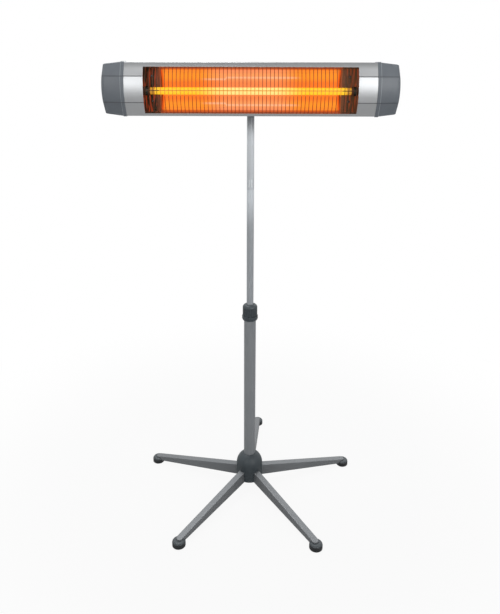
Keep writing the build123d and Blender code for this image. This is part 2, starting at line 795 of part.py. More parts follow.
def make_end_bay():
    """Folded tray at the +X end of the reflector, open to the front, that the lamp runs through."""
    half = reflector_half_height
    low = (bay_inner, reflector_front, window_z - half)
    tray = block(low, (bay_outer, bay_back, window_z + half))
    low = (bay_inner + bay_sheet, 2 * reflector_front, window_z - half + bay_sheet)
    tray -= block(low, (bay_outer - bay_sheet, bay_back - bay_sheet, window_z + half - bay_sheet))
    for side in (-1, 1):
        z_values = sorted((window_z + side * (half - bay_sheet), pivot_height + side * flange_reach))
        low = (bay_inner, reflector_front, z_values[0])
        tray += block(low, (bay_outer, reflector_front + bay_sheet, z_values[1]))
    notch = lamp_end_radius + loose_gap
    tray -= rod(notch, 0, head_length, lamp_y, lamp_z)
    tray -= block((0, 2 * head_front, lamp_z - notch), (head_length, lamp_y, lamp_z + notch))
    for x, z in bay_screw_places():
        tray -= peg(bay_screw_diameter / 2 + seat_gap, lamp_y, 0, x, z)
    return tray


def make_bay_screws():
    screws = []
    front = bay_back - bay_sheet
    for x, z in bay_screw_places():
        head = peg(bay_screw_head_diameter / 2, front - bay_screw_head_height, front, x, z)
        screws.append(head + peg(bay_screw_diameter / 2, front, front + bay_screw_length, x, z))
    return screws + [mirrored(screw) for screw in screws]


def make_quartz_tube():
    outside = rod(quartz_diameter / 2, -quartz_end, quartz_end, lamp_y, lamp_z)
    return outside - rod(quartz_diameter / 2 - quartz_wall, -head_length, head_length, lamp_y, lamp_z)


def make_filament():
    """Heating filament with a thin pin at each end that runs through the ceramic."""
    half = quartz_end - filament_pin_inset
    pin_end = lamp_end_start + lamp_end_length
    body = rod(filament_diameter / 2, -half, half, lamp_y, lamp_z)
    return body + rod(filament_pin_diameter / 2, -pin_end, pin_end, lamp_y, lamp_z)


def make_lamp_end():
    """Ceramic end at +X, with a socket for the quartz tube."""
    end = lamp_end_start + lamp_end_length
    ceramic = rod(lamp_end_radius, lamp_end_start, end, lamp_y, lamp_z)
    ceramic -= rod(quartz_diameter / 2 + seat_gap, 0, lamp_end_start + lamp_socket_depth, lamp_y, lamp_z)
    return ceramic - rod(filament_pin_diameter / 2 + seat_gap, 0, head_length, lamp_y, lamp_z)


def make_lamp_clip():
    """Spring-steel clip that holds the ceramic to the bay's back."""
    start = lamp_end_start + clip_setback
    inner = lamp_end_radius + seat_gap
    clip = rod(inner + clip_wall, start, start + clip_width, lamp_y, lamp_z)
    low = (start, lamp_y, lamp_z - inner / 2)
    clip += block(low, (start + clip_width, bay_back - bay_sheet, lamp_z + inner / 2))
    return clip - rod(inner, 0, head_length, lamp_y, lamp_z)


# ---------------------------------------------------------------- grille
def make_grille():
    """Bowed wires across the window, carried by rails along it."""
    lip_z = window_height / 2
    facet_slope = (front_shoulder_setback - front_crown) / (head_height / 2 - front_facet_half)
    skin = math.hypot(1, facet_slope)
    facet_y = head_front + front_crown + facet_slope * (lip_z + window_drop - front_facet_half)
    lip_y = facet_y + (front_shell_wall + loose_gap + grille_wire / 2) * skin
    crown_y = head_front + front_shell_wall + loose_gap + grille_wire
    bow = lip_y - crown_y
    radius = (lip_z ** 2 + bow ** 2) / (2 * bow)
    centre_y = crown_y + radius
    span = math.degrees(math.asin((lip_z + grille_reach) / radius))
    section = Pos(0, centre_y - radius, window_z) * Circle(grille_wire / 2)
    bow_axis = Axis((0, centre_y, window_z), (1, 0, 0))
    wire = revolve(section.rotate(bow_axis, -span), axis=bow_axis, revolution_arc=2 * span)
    reach = bay_outer - bay_sheet - grille_rail
    count = int(2 * (window_end - grille_wire) / grille_pitch) + 1
    pieces = []
    for k in range(count):
        x = (k - (count - 1) / 2) * grille_pitch
        pieces.append(Pos(x, 0, 0) * wire)
    for k in range(grille_rail_count):
        share = 2 * k / (grille_rail_count - 1) - 1
        angle = math.radians(share * grille_rail_share * span)
        inner_radius = radius - grille_wire / 2 - grille_rail / 2 + grille_weld
        y = centre_y - inner_radius * math.cos(angle)
        pieces.append(rod(grille_rail / 2, -reach, reach, y, window_z + inner_radius * math.sin(angle)))
    return pieces[0].fuse(*pieces[1:])


# ---------------------------------------------------------------- electrical pieces
def make_terminal_block():
    wide, deep, tall = terminal_block_size
    middle = pivot_height - terminal_block_drop
    low = (bulkhead_inner - wide, lamp_y, middle - tall / 2)
    return block(low, (bulkhead_inner, lamp_y + deep, middle + tall / 2))


def make_tip_switch():
    wide, deep, tall = tip_switch_size
    middle = pivot_height + tip_switch_lift
    low = (-bulkhead_inner, lamp_y, middle - tall / 2)
    return block(low, (-bulkhead_inner + wide, lamp_y + deep, middle + tall / 2))


def lead(points):
    """Insulated lead along straight runs joined by small bends."""
    path = FilletPolyline(*points, radius=lead_bend)
    section = Plane(origin=path @ 0, z_dir=path % 0) * Circle(lead_diameter / 2)
    return sweep(section, path=path)


def make_lead_right():
    end = lamp_end_start + lamp_end_length
    corner = end + 2 * lead_bend
    y = lamp_y + terminal_block_size[1] * terminal_shares[0]
    z = pivot_height - terminal_block_drop
    face = bulkhead_inner - terminal_block_size[0]
    return lead([(end, lamp_y, lamp_z), (corner, lamp_y, lamp_z), (corner, y, z), (face, y, z)])


def make_lead_left():
    end = lamp_end_start + lamp_end_length
    corner = end + 3 * lead_bend
    back = (reflector_front + reflector_depth + back_inner) / 2
    y = lamp_y + terminal_block_size[1] * terminal_shares[1]
    z = pivot_height - terminal_block_drop - terminal_block_size[2] / 4
    face = bulkhead_inner - terminal_block_size[0]
    return lead([
        (-end, lamp_y, lamp_z), (-corner, lamp_y, lamp_z), (-corner, back, lamp_z),
        (end + 2 * lead_bend, back, lamp_z), (end + 2 * lead_bend, y, z), (face, y, z),
    ])


switch_z = pivot_height + switch_lift
rocker_y = head_back


def rocker_reach():
    """Largest distance of the rocker's outline from its pin."""
    return math.hypot(rocker_length / 2, rocker_peak)


def make_switch_body():
    """Rocker switch's frame, through the back panel."""
    half_x, half_z = switch_flange[0] / 2, switch_flange[1] / 2
    flange_back = head_back + switch_flange_thickness
    low = (fittings_x - half_x, head_back, switch_z - half_z)
    body = block(low, (fittings_x + half_x, flange_back, switch_z + half_z))
    half_x, half_z = switch_body_size[0] / 2, switch_body_size[1] / 2
    low = (fittings_x - half_x, head_back - switch_body_depth, switch_z - half_z)
    body += block(low, (fittings_x + half_x, head_back, switch_z + half_z))
    half = rocker_width / 2 + loose_gap
    body -= rod(rocker_reach() + loose_gap, fittings_x - half, fittings_x + half, rocker_y, switch_z)
    pin_half = rocker_width / 2 + rocker_pin_reach + loose_gap
    pin_hole = rocker_pin_diameter / 2 + running_gap
    return body - rod(pin_hole, fittings_x - pin_half, fittings_x + pin_half, rocker_y, switch_z)


def make_switch_rocker():
    """Rocker, tipped to its on side."""
    half = rocker_length / 2
    outline = Polyline(
        (-rocker_root, -half), (rocker_peak, -half), (rocker_valley, 0), (rocker_peak, half),
        (-rocker_root, half), close=True,
    )
    rocker = extrude(Plane.YZ * make_face(outline), amount=rocker_width / 2, both=True)
    pin_half = rocker_width / 2 + rocker_pin_reach
    rocker += rod(rocker_pin_diameter / 2, -pin_half, pin_half, 0, 0)
    return Pos(fittings_x, rocker_y, switch_z) * (Rot(rocker_rest_angle, 0, 0) * rocker)


gland_z = pivot_height - gland_drop
gland_inner_end = back_inner - gland_locknut_thickness - 2 * loose_gap
gland_neck_end = head_back + gland_flange + gland_neck
gland_nut_start = head_back + gland_flange + loose_gap
gland_nut_end = gland_nut_start + gland_nut_length
gland_neck_radius = gland_hex / 2 - gland_nut_wall


def hex_peg(front, back):
    """Hexagon bar along Y at the gland."""
    hexagon = RegularPolygon(gland_hex / 2, 6, major_radius=False)
    return Pos(fittings_x, front, gland_z) * extrude(Plane.XZ.reverse() * hexagon, amount=back - front)


def gland_peg(radius, front, back):
    return peg(radius, front, back, fittings_x, gland_z)


def make_gland_body():
    body = gland_peg(gland_thread_diameter / 2, gland_inner_end, head_back)
    body += hex_peg(head_back, head_back + gland_flange)
    body += gland_peg(gland_neck_radius - seat_gap, head_back, gland_neck_end)
    return body - gland_peg(gland_bore / 2, 2 * head_back, 0)


def make_gland_nut():
    nut = gland_peg(gland_hex / 2, gland_nut_start, gland_nut_end)
    nut = fillet(nut.edges().group_by(Axis.Y)[-1], gland_nut_wall)
    nut -= gland_peg(gland_neck_radius, 2 * head_back, gland_nut_end - gland_nut_wall)
    return nut - gland_peg(gland_bore / 2, 2 * head_back, 0)


def make_gland_seal():
    seal = gland_peg(gland_neck_radius - seat_gap, gland_neck_end, gland_nut_end - gland_nut_wall)
    return seal - gland_peg(gland_bore / 2, 2 * head_back, 0)


def make_gland_locknut():
    nut = hex_peg(back_inner - gland_locknut_thickness, back_inner)
    return nut - gland_peg(gland_thread_diameter / 2 + seat_gap, 2 * head_back, 0)


# ---------------------------------------------------------------- write the pieces
os.makedirs("parts", exist_ok=True)

leg = make_leg()
foot = make_foot()
for number, angle in enumerate(leg_angles, 1):
    save(f"leg_{number}", Rot(0, 0, angle) * leg)
    save(f"foot_{number}", Rot(0, 0, angle) * foot)
save("leg_bolts", Compound([Rot(0, 0, angle) * bolt for angle in leg_angles for bolt in make_leg_bolts()]))
save("hub_core", make_hub_core())
save("hub_cover", make_hub_cover())
save("centre_bolt", make_centre_bolt())
save("tube_bottom_plug", make_bottom_plug())
save("lower_tube", make_lower_tube())
save("tube_top_bush", make_tube_top_bush())
save("clamp_ring", make_clamp_ring())
save("twist_collar", make_twist_collar())

save("mast_guide_plug", make_guide_plug())
save("upper_tube", make_upper_tube())
save("joining_spigot", make_joining_spigot())
save("mast_arm", make_mast_arm())
save("pivot_block", make_pivot_block())
save("pivot_bolt", make_pivot_bolt())
save("friction_washers", Compound(make_friction_washers()))
save("tilt_knob", make_tilt_knob())
save("tilt_bracket", make_tilt_bracket())
save("bracket_screws", Compound(make_bracket_screws()))

save("front_shell", make_front_shell())
save("rear_shell", make_rear_shell())
cap = make_end_cap()
bulkhead = make_bulkhead()
bay = make_end_bay()
lamp_end = make_lamp_end()
lamp_clip = make_lamp_clip()
paired = {"end_cap": cap, "bulkhead": bulkhead, "end_bay": bay}
paired.update({"lamp_end": lamp_end, "lamp_clip": lamp_clip})
for name, piece in paired.items():
    save(f"{name}_right", piece)
    save(f"{name}_left", mirrored(piece))
save("cap_screws", Compound(make_cap_screws()))
save("bay_screws", Compound(make_bay_screws()))
save("reflector", make_reflector())
save("quartz_tube", make_quartz_tube())
save("heating_filament", make_filament())
save("grille", make_grille())

save("terminal_block", make_terminal_block())
save("tip_over_switch", make_tip_switch())
save("lead_right", make_lead_right())
save("lead_left", make_lead_left())
save("switch_body", make_switch_body())
save("switch_rocker", make_switch_rocker())
save("cable_gland", make_gland_body())
save("gland_seal", make_gland_seal())
save("gland_nut", make_gland_nut())
save("gland_locknut", make_gland_locknut())
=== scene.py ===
# %% [markdown]
# # An infrared patio heater tower
#
# The real object is a long radiant head on a telescopic mast over a star base of five legs.
# Its solids come from CAD, packed as a fixed frame, so each one already lies in its true
# place. This script dresses that frame: it gives every piece its finish, models the small
# things that show only close up, and sets the lights and the camera.

# %% Load the frame
import json
import math

import bmesh
import bpy
from mathutils import Matrix, Vector


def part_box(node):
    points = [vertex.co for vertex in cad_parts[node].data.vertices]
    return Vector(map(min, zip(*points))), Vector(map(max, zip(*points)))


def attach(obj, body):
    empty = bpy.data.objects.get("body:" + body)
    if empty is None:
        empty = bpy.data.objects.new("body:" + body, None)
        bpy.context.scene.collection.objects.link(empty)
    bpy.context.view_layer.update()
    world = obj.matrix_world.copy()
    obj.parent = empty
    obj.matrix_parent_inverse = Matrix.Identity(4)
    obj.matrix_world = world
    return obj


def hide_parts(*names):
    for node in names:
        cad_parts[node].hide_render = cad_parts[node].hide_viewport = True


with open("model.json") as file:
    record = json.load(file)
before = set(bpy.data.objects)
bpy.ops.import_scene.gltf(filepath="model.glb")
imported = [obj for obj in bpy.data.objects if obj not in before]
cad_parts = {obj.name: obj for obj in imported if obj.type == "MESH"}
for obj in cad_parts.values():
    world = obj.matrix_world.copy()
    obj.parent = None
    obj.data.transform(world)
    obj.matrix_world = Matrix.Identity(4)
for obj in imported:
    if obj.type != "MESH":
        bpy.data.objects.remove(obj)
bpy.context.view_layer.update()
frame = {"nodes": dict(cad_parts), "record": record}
nodes = frame["nodes"]


# %% [markdown]
# ## Camera
#
# The picture looks down on the tower a little, with the lens nearly level with the head.
# A view camera would do this with its front lowered: the film keeps its tilt and the lens
# axis meets the picture above its middle. Blender calls that a shift.

# %% Camera
picture_height = 614      # rows of pixels
focal_pixels = 590.5
axis_row = 233.0          # the row of the picture where the lens axis meets it
sensor_width = 36.0       # millimetres
look_down = math.radians(16.04)
camera_roll = math.radians(0.2)
camera_place = (-0.001, -1.927, 1.5556)

camera_data = bpy.data.cameras.new("camera")
camera_data.sensor_width = sensor_width
camera_data.lens = sensor_width * focal_pixels / picture_height
camera_data.shift_y = (axis_row - picture_height / 2) / picture_height
camera = bpy.data.objects.new("camera", camera_data)
bpy.context.scene.collection.objects.link(camera)
camera.location = camera_place
turn = Matrix.Rotation(math.pi / 2 - look_down, 3, "X") @ Matrix.Rotation(camera_roll, 3, "Z")
camera.rotation_euler = turn.to_euler()
bpy.context.scene.camera = camera
print("lens", round(camera_data.lens, 2), "mm, shift", round(camera_data.shift_y, 4))

# %% [markdown]
# ## Arithmetic on shader sockets
#
# A finish is mostly sums of noises. Written as nodes they fill a page, so a small class
# wraps a socket, and plain Python arithmetic on it adds the Math nodes. Numbers alone are
# worked out in Python and make no node.

# %% A class for sockets
class Value:
    """A number that varies over a surface."""

    def __init__(self, finish, socket):
        self.finish = finish
        self.socket = socket

    def maths(self, operation, first, second=None):
        values = {0: first} if second is None else {0: first, 1: second}
        return self.finish.node("ShaderNodeMath", {"operation": operation}, values)

    def __add__(self, other):
        return self.maths("ADD", self, other)

    def __radd__(self, other):
        return self.maths("ADD", other, self)

    def __sub__(self, other):
        return self.maths("SUBTRACT", self, other)

    def __rsub__(self, other):
        return self.maths("SUBTRACT", other, self)

    def __mul__(self, other):
        return self.maths("MULTIPLY", self, other)

    def __rmul__(self, other):
        return self.maths("MULTIPLY", other, self)

    def __truediv__(self, other):
        return self.maths("DIVIDE", self, other)

    def __abs__(self):
        return self.maths("ABSOLUTE", self)

    def above(self, level):
        return self.maths("GREATER_THAN", self, level)


print("a socket is", Value.__doc__.lower())

# %% [markdown]
# ## A class for finishes
#
# Every material starts from the same shader, and only its sockets are set or fed. So one
# class makes the material, adds any node in one way, and has a short name for what most
# finishes need: a place on the piece, a noise, a ramp, a mix of two colours and a bump.

# %% A class for finishes
class Finish:
    """A material that is put together from a few named nodes."""

    def __init__(self, name, **surface):
        self.material = bpy.data.materials.new(name)
        self.material.use_nodes = True
        self.tree = self.material.node_tree
        self.shader = self.tree.nodes["Principled BSDF"]
        self.set(**surface)

    def link(self, socket, value):
        if isinstance(value, Value):
            self.tree.links.new(value.socket, socket)
        else:
            socket.default_value = value

    def node(self, kind, settings=None, inputs=None, output=0):
        """Any node: its settings first, then the values or links of its sockets."""
        made = self.tree.nodes.new(kind)
        for key, value in (settings or {}).items():
            setattr(made, key, value)
        for key, value in (inputs or {}).items():
            self.link(made.inputs[key], value)
        return Value(self, made.outputs[output])

    def set(self, **surface):
        for key, value in surface.items():
            self.link(self.shader.inputs[key.replace("_", " ").title()], value)

    def place(self, scale=(1, 1, 1)):
        """A point of the piece, in metres, stretched for a pattern."""
        point = self.node("ShaderNodeTexCoord", output="Object")
        return self.node("ShaderNodeMapping", None, {"Vector": point, "Scale": scale})

    def along(self, axis):
        """The point's distance from the origin along one axis."""
        split = {"Vector": self.place()}
        return self.node("ShaderNodeSeparateXYZ", None, split, output=axis)

    def noise(self, size, scale=(1, 1, 1), detail=2.0):
        """Soft noise with blotches of about that size, in metres."""
        sockets = {"Vector": self.place(scale), "Scale": 1.0 / size, "Detail": detail}
        return self.node("ShaderNodeTexNoise", None, sockets, output="Fac")

    def ramp(self, value, low, high):
        """0 up to low and 1 from high, eased between."""
        settings = {"interpolation_type": "SMOOTHSTEP"}
        sockets = {"Value": value, "From Min": low, "From Max": high}
        return self.node("ShaderNodeMapRange", settings, sockets)

    def mix(self, share, first, second):
        """A colour between two colours."""
        made = self.tree.nodes.new("ShaderNodeMix")
        made.data_type = "RGBA"
        colours = [s for s in made.inputs if s.type == "RGBA"]
        self.link(made.inputs[0], share)
        for socket, colour in zip(colours, (first, second)):
            self.link(socket, colour if isinstance(colour, Value) else (*colour, 1.0))
        return Value(self, [s for s in made.outputs if s.type == "RGBA"][0])

    def bump(self, height, depth):
        """Relief of that depth, in metres."""
        sockets = {"Height": height, "Distance": depth, "Strength": 1.0}
        self.set(normal=self.node("ShaderNodeBump", None, sockets))


print("finishes are made of", Finish.__doc__.lower())

# %% [markdown]
# ## Silver paint
#
# Legs and lower tube carry a grey-silver powder coat: softly shining, with a fine
# orange-peel skin and metal flakes that show only close up. A cloudy noise keeps a long
# tube from looking like one flat grey. The upper tube and the arm catch more light and look
# a little bluer, so the same recipe runs again with lighter greys: lit copies of the same
# paint, which are painted light.

# %% Silver paint
finishes = {}
flake_size = 0.0007
paint_cloud_size = 0.12
peel_size = 0.0016
peel_depth = 0.00004


def make_silver(name, dark, light, metal, rough):
    finish = Finish(name, metallic=metal)
    flake = finish.noise(flake_size, detail=1.0)
    cloud = finish.noise(paint_cloud_size)
    finish.colour = finish.mix(0.7 * cloud + 0.3 * flake, dark, light)
    finish.set(base_color=finish.colour)
    finish.set(roughness=rough + 0.14 * flake)
    finish.bump(finish.noise(peel_size, detail=1.0), peel_depth)
    finishes[name] = finish.material
    return finish


make_silver("silver_paint", (0.155, 0.165, 0.175), (0.225, 0.235, 0.245), 0.45, 0.34)
make_silver("tube_silver", (0.215, 0.23, 0.245), (0.30, 0.315, 0.33), 0.45, 0.34)
# Lighter copies of the same paint on the upper tube and arm: painted light.
mast_silver = make_silver("mast_silver", (0.35, 0.375, 0.40), (0.46, 0.485, 0.51), 0.6, 0.28)
arm_silver = make_silver("arm_silver", (0.54, 0.57, 0.60), (0.64, 0.67, 0.70), 0.5, 0.24)
make_silver("back_panel", (0.22, 0.225, 0.23), (0.30, 0.305, 0.31), 0.45, 0.36)
print("silver finishes", sorted(finishes))

# %% [markdown]
# ## Painted light and shade on the mast
#
# The upper tube is painted lighter from a little below the joint up to the arm: a painted
# highlight. The arm is painted greyer right under the head: the head's painted shadow. Both
# change slowly in grey along the tube. A ramp over the height does that: the heights come
# from the boxes of the arm and the front shell.

# %% Painted light and shade along the mast
joint_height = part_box("mast_arm")[0].z
head_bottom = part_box("front_shell")[0].z
highlight_start = joint_height - 0.15
bright_above = joint_height - 0.02
head_shadow_start = head_bottom - 0.09
painted_highlight_silver = (0.68, 0.72, 0.76)
head_shadow_grey = (0.16, 0.17, 0.18)

# Painted highlight on the upper tube, and the head's painted shadow on the arm.
painted_highlight = mast_silver.ramp(mast_silver.along("Z"), highlight_start, bright_above)
mast_silver.set(base_color=mast_silver.mix(painted_highlight, mast_silver.colour, painted_highlight_silver))
head_shadow_share = arm_silver.ramp(arm_silver.along("Z"), head_shadow_start, head_bottom)
arm_silver.set(base_color=arm_silver.mix(head_shadow_share, arm_silver.colour, head_shadow_grey))
print("joint at", round(joint_height, 3), "head's lower edge at", round(head_bottom, 3))

# %% [markdown]
# ## Slate plastic
#
# The caps are moulded in slate-grey plastic with a fine grain, the feet in a darker shade
# of it, and hub, collar and knob in the darkest. The grain is a bump of fine noise at the
# size of spark-eroded texture, about half a millimetre, and it also breaks up the shine.
# Rubber, ceramic and the leads' woven sleeves only need other colours and another grain.

# %% Plastics and rubber
moulding_grain = 0.0006
moulding_depth = 0.00003
moulding_cloud = 0.03


def make_plastic(name, dark, light, rough, grain=moulding_grain):
    finish = Finish(name)
    cloud = finish.noise(moulding_cloud)
    speck = finish.noise(grain, detail=3.0)
    finish.colour = finish.mix(0.6 * cloud + 0.4 * speck, dark, light)
    finish.set(base_color=finish.colour)
    finish.set(roughness=rough + 0.18 * speck)
    finish.bump(speck, moulding_depth)
    finishes[name] = finish.material
    return finish


make_plastic("dark_slate", (0.024, 0.033, 0.039), (0.045, 0.058, 0.067), 0.38)
cap_slate = make_plastic("cap_slate", (0.090, 0.102, 0.118), (0.130, 0.146, 0.163), 0.36)
foot_slate = make_plastic("foot_slate", (0.045, 0.055, 0.062), (0.070, 0.082, 0.090), 0.36)
make_plastic("inner_plastic", (0.006, 0.006, 0.007), (0.014, 0.014, 0.016), 0.45)
make_plastic("black_plastic", (0.008, 0.008, 0.009), (0.020, 0.020, 0.022), 0.38)
make_plastic("gland_rubber", (0.006, 0.006, 0.006), (0.014, 0.013, 0.013), 0.7, 0.0012)
make_plastic("ceramic_white", (0.55, 0.52, 0.46), (0.72, 0.70, 0.65), 0.62, 0.0020)
make_plastic("lead_insulation", (0.45, 0.43, 0.37), (0.66, 0.63, 0.56), 0.75, 0.0008)
print("finishes so far", len(finishes))

# %% [markdown]
# ## Metals
#
# Brushed sheet has scratches that run one way. The same noise does it when the surface is
# squeezed along one axis: its blotches become long streaks. Castings get a coarse grain
# and zinc plating a slight cloud of colour.

# %% Metals
metal_cloud = 0.05
along_head = (0.02, 1, 1)      # squeezes a pattern so that it streaks along the head


def make_metal(name, dark, light, rough, grain=0.0015, stretch=(1, 1, 1), depth=0.00002):
    finish = Finish(name, metallic=1.0)
    streak = finish.noise(grain, stretch, detail=3.0)
    cloud = finish.noise(metal_cloud)
    finish.colour = finish.mix(0.5 * cloud + 0.5 * streak, dark, light)
    finish.set(base_color=finish.colour)
    finish.set(roughness=rough + 0.14 * streak)
    finish.bump(streak, depth)
    finishes[name] = finish.material
    return finish


satin = make_metal("satin_aluminium", (0.46, 0.47, 0.48), (0.56, 0.57, 0.58), 0.36,
                   grain=0.0012, stretch=along_head)
make_metal("zinc_steel", (0.42, 0.42, 0.40), (0.62, 0.62, 0.58), 0.30)
# A lighter copy of zinc steel for the spigot, so the arm's slots show painted highlights.
make_metal("spigot_highlight_steel", (0.90, 0.92, 0.94), (0.97, 0.98, 0.99), 0.30)
make_metal("cast_alloy", (0.30, 0.30, 0.31), (0.42, 0.42, 0.43), 0.45, grain=0.0014, depth=0.0001)
print("finishes so far", len(finishes))

# %% [markdown]
# ## Painted shade in grooves, at the shell's top and at the soles; highlights on beads
#
# Two grooves run along the head's front and over the caps, and a dark line paints shade in
# them. Each cap has a bead beside the shell, and a light line paints a highlight on its outer
# edge. The shell is painted greyer towards its top edge, a painted shade, and the feet are
# painted darkest where they meet the floor, also a painted shade. CAD has grooves, beads and
# soles as shapes. A colour over the same places, found from the boxes of the nodes, makes
# them read from a distance.

# %% Grooves, beads and soles
shell_low, shell_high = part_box("front_shell")
head_middle = (shell_low.z + shell_high.z) / 2
groove_offset = 0.038          # of each groove from the head's middle height
groove_shade_half_width = 0.0018
groove_front, groove_fade = -0.055, 0.005   # the grooves lie on the front only
bead_width = 0.010
bead_highlight_half_width = 0.0014
top_shade_height, full_top_shade = 0.022, 0.002   # below the shell's top edge
foot_shade_top, foot_shade_full = 0.0205, 0.014     # heights above the floor
groove_shade, top_shade_grey = (0.04, 0.04, 0.045), (0.26, 0.265, 0.27)
bead_highlight_slate, foot_shade_black = (0.34, 0.36, 0.38), (0.008, 0.010, 0.012)


# Painted shade: a dark line along each groove.
def shade_grooves(finish, colour):
    off = abs(abs(finish.along("Z") - head_middle) - groove_offset)
    line = finish.ramp(off, groove_shade_half_width, 0.5 * groove_shade_half_width)
    line = line * finish.ramp(finish.along("Y"), groove_front + groove_fade, groove_front)
    return finish.mix(0.7 * line, colour, groove_shade)


# Painted shade: the shell darker towards its top edge.
def shade_top_edge(finish, colour):
    top = finish.ramp(finish.along("Z"), shell_high.z - top_shade_height, shell_high.z - full_top_shade)
    return finish.mix(0.75 * top, colour, top_shade_grey)


# Painted highlight: a light line along each bead's outer edge.
def highlight_bead(finish, colour):
    off = abs(abs(finish.along("X")) - (shell_high.x + bead_width))
    return finish.mix(0.5 * finish.ramp(off, bead_highlight_half_width, 0.5 * bead_highlight_half_width), colour, bead_highlight_slate)


# Painted shade: the feet dark where they meet the floor, and lighter above.
def shade_sole(finish, colour):
    return finish.mix(finish.ramp(finish.along("Z"), foot_shade_top, foot_shade_full), colour, foot_shade_black)


satin.set(base_color=shade_grooves(satin, shade_top_edge(satin, satin.colour)))
cap_slate.set(base_color=shade_grooves(cap_slate, highlight_bead(cap_slate, cap_slate.colour)))
foot_slate.set(base_color=shade_sole(foot_slate, foot_slate.colour))
print("head middle", round(head_middle, 4), "shell end", round(shell_high.x, 4))

# %% [markdown]
# ## The lit lamp
#
# The lamp glows yellow, paler at mid length and amber at its ends. Real light from the
# tube would leave grain in a short render, so the glow of lamp and trough is a plain
# emission colour that follows the length and the height of the piece.

# %% Lamp
lamp_low, lamp_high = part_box("quartz_tube")
lamp_height = (lamp_low.z + lamp_high.z) / 2
lamp_pale, lamp_yellow = (0.93, 0.72, 0.24), (0.93, 0.52, 0.006)
lamp_amber = (0.40, 0.17, 0.004)
pale_half, yellow_half = 0.06, 0.17       # from mid length
amber_start, amber_full = 0.024, 0.018    # from the lamp's end


def make_lamp_glow():
    finish = Finish("quartz_glow", base_color=(0.35, 0.18, 0.04, 1.0), roughness=0.2)
    away = abs(finish.along("X"))
    middle = finish.ramp(away, yellow_half, pale_half)
    end = finish.ramp(away, lamp_high.x - amber_start, lamp_high.x - amber_full)
    glow = finish.mix(middle, lamp_yellow, lamp_pale)
    finish.set(emission_color=finish.mix(end, glow, lamp_amber), emission_strength=1.0)
    finishes["quartz_glow"] = finish.material


make_lamp_glow()
print("lamp at", round(lamp_height, 4), "and", round(2 * lamp_high.x, 4), "long")

# %% [markdown]
# ## The trough behind the lamp
#
# The polished trough is orange all over, because it mirrors the lamp. That reflection is
# painted, as emission and an orange base colour: redder at the lamp's height, pinker at mid
# length, with a pale streak above and below that steps once on its left, and red at its
# ends. Its lips are red-brown, a painted shade. The sheet has no glow on its far side, or it
# would show through the vents. The trough's section is half an ellipse, so the glow ends at
# the ellipse through the middle of the sheet.

# %% Which side of the trough
trough_low, trough_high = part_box("reflector")
trough_end = trough_high.x
window_middle = (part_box("grille")[0].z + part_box("grille")[1].z) / 2
trough_half_height = 0.066     # without its lips
half_sheet = 0.0004            # half the thickness of the sheet
no_glow = (0, 0, 0)


def outside_trough(finish):
    """1 on the sheet's far side, 0 where the lamp shines."""
    depth = finish.along("Y") - trough_low.y
    across = depth / (trough_high.y - trough_low.y - half_sheet)
    upright = (finish.along("Z") - window_middle) / (trough_half_height - half_sheet)
    return (across * across + upright * upright).above(1.0) * depth.above(half_sheet)


print("trough to", round(trough_end, 4), "window's middle at", round(window_middle, 4))

# %% The trough's glow
pink_half, orange_half = 0.075, 0.155     # from mid length
near_lamp, off_lamp = 0.022, 0.040        # up or down from the lamp
mirror_drop = 0.002                       # of the streaks' middle below the lamp
streak_inner, streak_outer = 0.0365, 0.0455
inner_edge, outer_edge = 0.003, 0.004
streak_fade, streak_end = 0.120, 0.160    # from mid length
streak_step, step_start, step_end = 0.005, -0.074, -0.079
lip_inner, lip_outer = 0.057, 0.063       # up or down from the window's middle
red_end = 0.012
orange, orange_by_lamp = (0.84, 0.255, 0.028), (0.75, 0.145, 0.024)
pink, pink_by_lamp = (0.81, 0.28, 0.112), (0.75, 0.175, 0.066)
streak_pink, end_red, lip_shade_brown = (0.88, 0.50, 0.34), (0.70, 0.07, 0.008), (0.22, 0.05, 0.012)


def trough_streak(finish, height, away):
    """1 on the pale streaks, at the same distance above and below the lamp."""
    step = streak_step * finish.ramp(finish.along("X"), step_start, step_end)
    off = abs(height - (lamp_height - mirror_drop)) + step
    band = finish.ramp(off, streak_inner, streak_inner + inner_edge)
    band = band * finish.ramp(off, streak_outer, streak_outer - outer_edge)
    return 0.6 * band * finish.ramp(away, streak_end, streak_fade)


def make_trough_glow():
    finish = Finish("mirror_aluminium", metallic=1.0)
    away = abs(finish.along("X"))
    height = finish.along("Z")
    # Painted reflection: the lamp's light on the trough as emission, with painted shade on the
    # lips.
    lamp_light_share = finish.ramp(abs(height - lamp_height), off_lamp, near_lamp)
    outer = finish.mix(lamp_light_share, orange, orange_by_lamp)
    inner = finish.mix(lamp_light_share, pink, pink_by_lamp)
    glow = finish.mix(finish.ramp(away, orange_half, pink_half), outer, inner)
    glow = finish.mix(trough_streak(finish, height, away), glow, streak_pink)
    glow = finish.mix(finish.ramp(away, trough_end - red_end, trough_end), glow, end_red)
    lip = finish.ramp(abs(height - window_middle), lip_inner, lip_outer)
    glow = finish.mix(lip, glow, lip_shade_brown)
    behind = outside_trough(finish)
    finish.set(emission_color=finish.mix(behind, glow, no_glow), emission_strength=0.95)
    finish.set(base_color=finish.mix(behind, (0.30, 0.13, 0.06), (0.45, 0.45, 0.46)))
    finish.set(roughness=0.12 + 0.1 * finish.noise(0.003, along_head))
    finishes["mirror_aluminium"] = finish.material


make_trough_glow()
print("finishes so far", len(finishes))

# %% [markdown]
# ## Hot metal
#
# The end bays are trays of steel that heat has stained brown. They mirror the lamp, and
# that light is painted as a glow: upright red streaks, browner next to the trough, and the
# right one browner all over. The trays are as high as the trough, and like it they have no
# glow on their far side.

# %% Stained steel
stain_size, fine_stain_size = 0.012, 0.002
stain_depth = 0.00005


